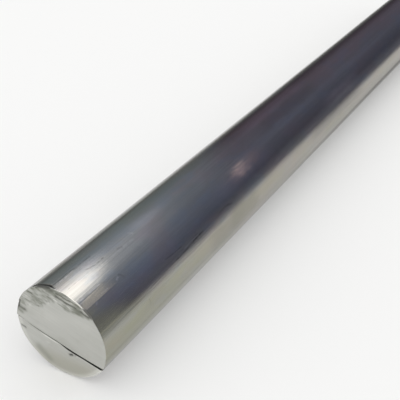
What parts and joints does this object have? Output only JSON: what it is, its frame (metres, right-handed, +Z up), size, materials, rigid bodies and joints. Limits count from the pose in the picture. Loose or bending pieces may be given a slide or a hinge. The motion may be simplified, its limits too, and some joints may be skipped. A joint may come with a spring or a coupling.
{
  "type": "round metal bar",
  "caption": "Solid round bar of bright drawn steel, sawn to length, with a stepped saw-cut end and a plain squared end; stock for turning, pins and shafts.",
  "frame": {"origin": "on the floor, under the middle of the bar as it lies on its side", "axes": "+X along the bar, from the rough sawn end to the plain squared end; +Z up"},
  "size_m": [0.5, 0.04, 0.04],
  "materials": {
    "bright_steel": "bright drawn, lightly oiled, with fine draw lines; sawn end left as cut"
  },
  "bodies": {
    "root": {"round_bar": "bright_steel"}
  },
  "joints": []
}
